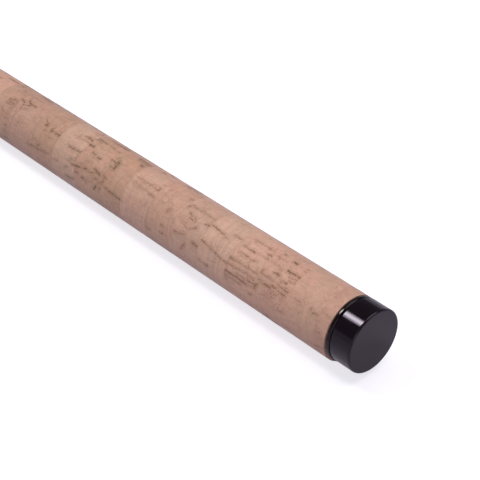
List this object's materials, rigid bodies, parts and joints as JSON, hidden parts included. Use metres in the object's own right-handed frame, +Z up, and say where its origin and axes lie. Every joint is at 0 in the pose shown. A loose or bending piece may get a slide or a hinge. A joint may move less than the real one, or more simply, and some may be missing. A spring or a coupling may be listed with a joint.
{
  "type": "telescopic spinning rod",
  "caption": "Telescopic spinning rod shown closed, with a cork handle, screw butt cap, screw-clamp reel seat and line guides on nested sliding sections.",
  "frame": {"origin": "middle of the butt cap's flat end face, on the rod's axis", "axes": "+X along the rod from butt to tip, -Y out of the reel seat's bed towards the reel and the line guides, +Z up with the rod lying on its side"},
  "size_m": [0.5684, 0.0499, 0.024],
  "materials": {
    "cork": "sanded natural cork, pinkish tan with dark pores",
    "gloss_black_cap": "glossy black moulding with a flat end",
    "black_rubber": "matte black rubber",
    "bush_aluminium": "machined",
    "carbon_blank": "lacquered carbon fibre blank, near black",
    "seat_plastic": "black moulded reel seat plastic",
    "hood_steel": "polished stainless steel shell",
    "gunmetal_trim": "gunmetal anodised",
    "lacquered_thread": "black whipping thread under clear lacquer",
    "guide_steel": "dark plated steel",
    "ring_ceramic": "polished dark grey ceramic"
  },
  "bodies": {
    "handle": {"handle_blank": "carbon_blank", "butt_bush": "bush_aluminium", "rear_cork_ring_01": "cork", "rear_cork_ring_02": "cork", "rear_cork_ring_03": "cork", "rear_cork_ring_04": "cork", "rear_cork_ring_05": "cork", "rear_cork_ring_06": "cork", "rear_cork_ring_07": "cork", "rear_cork_ring_08": "cork", "rear_cork_ring_09": "cork", "rear_cork_ring_10": "cork", "rear_cork_ring_11": "cork", "rear_cork_ring_12": "cork", "rear_cork_ring_13": "cork", "rear_cork_ring_14": "cork", "rear_cork_ring_15": "cork", "rear_cork_ring_16": "cork", "rear_cork_ring_17": "cork", "rear_cork_ring_18": "cork", "seat_trim_ring": "hood_steel", "reel_seat_barrel": "seat_plastic", "fixed_hood": "hood_steel", "fore_cork_ring_1": "cork", "fore_cork_ring_2": "cork", "fore_cork_ring_3": "cork", "fore_cork_ring_4": "cork", "fore_cork_ring_5": "cork", "front_winding_check": "gunmetal_trim", "handle_tip_winding": "lacquered_thread", "handle_tip_ferrule": "gunmetal_trim"},
    "cap_washer": {"cap_washer": "black_rubber"},
    "butt_cap": {"butt_cap": "gloss_black_cap", "damper_pad": "black_rubber"},
    "sliding_hood": {"sliding_hood": "hood_steel"},
    "locking_nut": {"locking_nut": "seat_plastic"},
    "section_1": {"section_1_blank": "carbon_blank", "guide_1_frame": "guide_steel", "guide_1_ring": "ring_ceramic"},
    "section_2": {"section_2_blank": "carbon_blank", "guide_2_frame": "guide_steel", "guide_2_ring": "ring_ceramic"},
    "section_3": {"section_3_blank": "carbon_blank", "guide_3_frame": "guide_steel", "guide_3_ring": "ring_ceramic"},
    "tip_section": {"tip_blank": "carbon_blank", "tip_top_frame": "guide_steel", "tip_top_ring": "ring_ceramic"},
    "floating_guide_a": {"floating_guide_a_frame": "guide_steel", "floating_guide_a_ring": "ring_ceramic"},
    "floating_guide_b": {"floating_guide_b_frame": "guide_steel", "floating_guide_b_ring": "ring_ceramic"}
  },
  "joints": [
    {"name": "washer_slide", "type": "slide", "parent": "handle", "child": "cap_washer", "axis": [-1, 0, 0], "range_m": [0, 0.012]},
    {"name": "cap_turn", "type": "hinge", "parent": "cap_washer", "child": "butt_cap", "pos_m": [0, 0, 0], "axis": [-1, 0, 0], "range_deg": [0, 2880]},
    {"name": "hood_slide", "type": "slide", "parent": "handle", "child": "sliding_hood", "axis": [-1, 0, 0], "range_m": [-0.008, 0.006]},
    {"name": "nut_turn", "type": "hinge", "parent": "sliding_hood", "child": "locking_nut", "pos_m": [0.31875, 0, 0], "axis": [-1, 0, 0], "range_deg": [-1440, 1080]},
    {"name": "section_1_slide", "type": "slide", "parent": "handle", "child": "section_1", "axis": [1, 0, 0], "range_m": [0, 0.43045]},
    {"name": "section_2_slide", "type": "slide", "parent": "section_1", "child": "section_2", "axis": [1, 0, 0], "range_m": [0, 0.44875]},
    {"name": "section_3_slide", "type": "slide", "parent": "section_2", "child": "section_3", "axis": [1, 0, 0], "range_m": [0, 0.46405]},
    {"name": "tip_slide", "type": "slide", "parent": "section_3", "child": "tip_section", "axis": [1, 0, 0], "range_m": [0, 0.47685]},
    {"name": "floating_guide_a_slide", "type": "slide", "parent": "tip_section", "child": "floating_guide_a", "axis": [1, 0, 0], "range_m": [-0.3179, 0]},
    {"name": "floating_guide_b_slide", "type": "slide", "parent": "tip_section", "child": "floating_guide_b", "axis": [1, 0, 0], "range_m": [-0.15895, 0]}
  ],
  "couplings": [
    {"joint": "washer_slide", "follows": "cap_turn", "m_per_rad": 0.00023873},
    {"joint": "hood_slide", "follows": "nut_turn", "m_per_rad": 0.00031831},
    {"joint": "floating_guide_a_slide", "follows": "tip_slide", "ratio": -0.66667},
    {"joint": "floating_guide_b_slide", "follows": "tip_slide", "ratio": -0.33333}
  ]
}
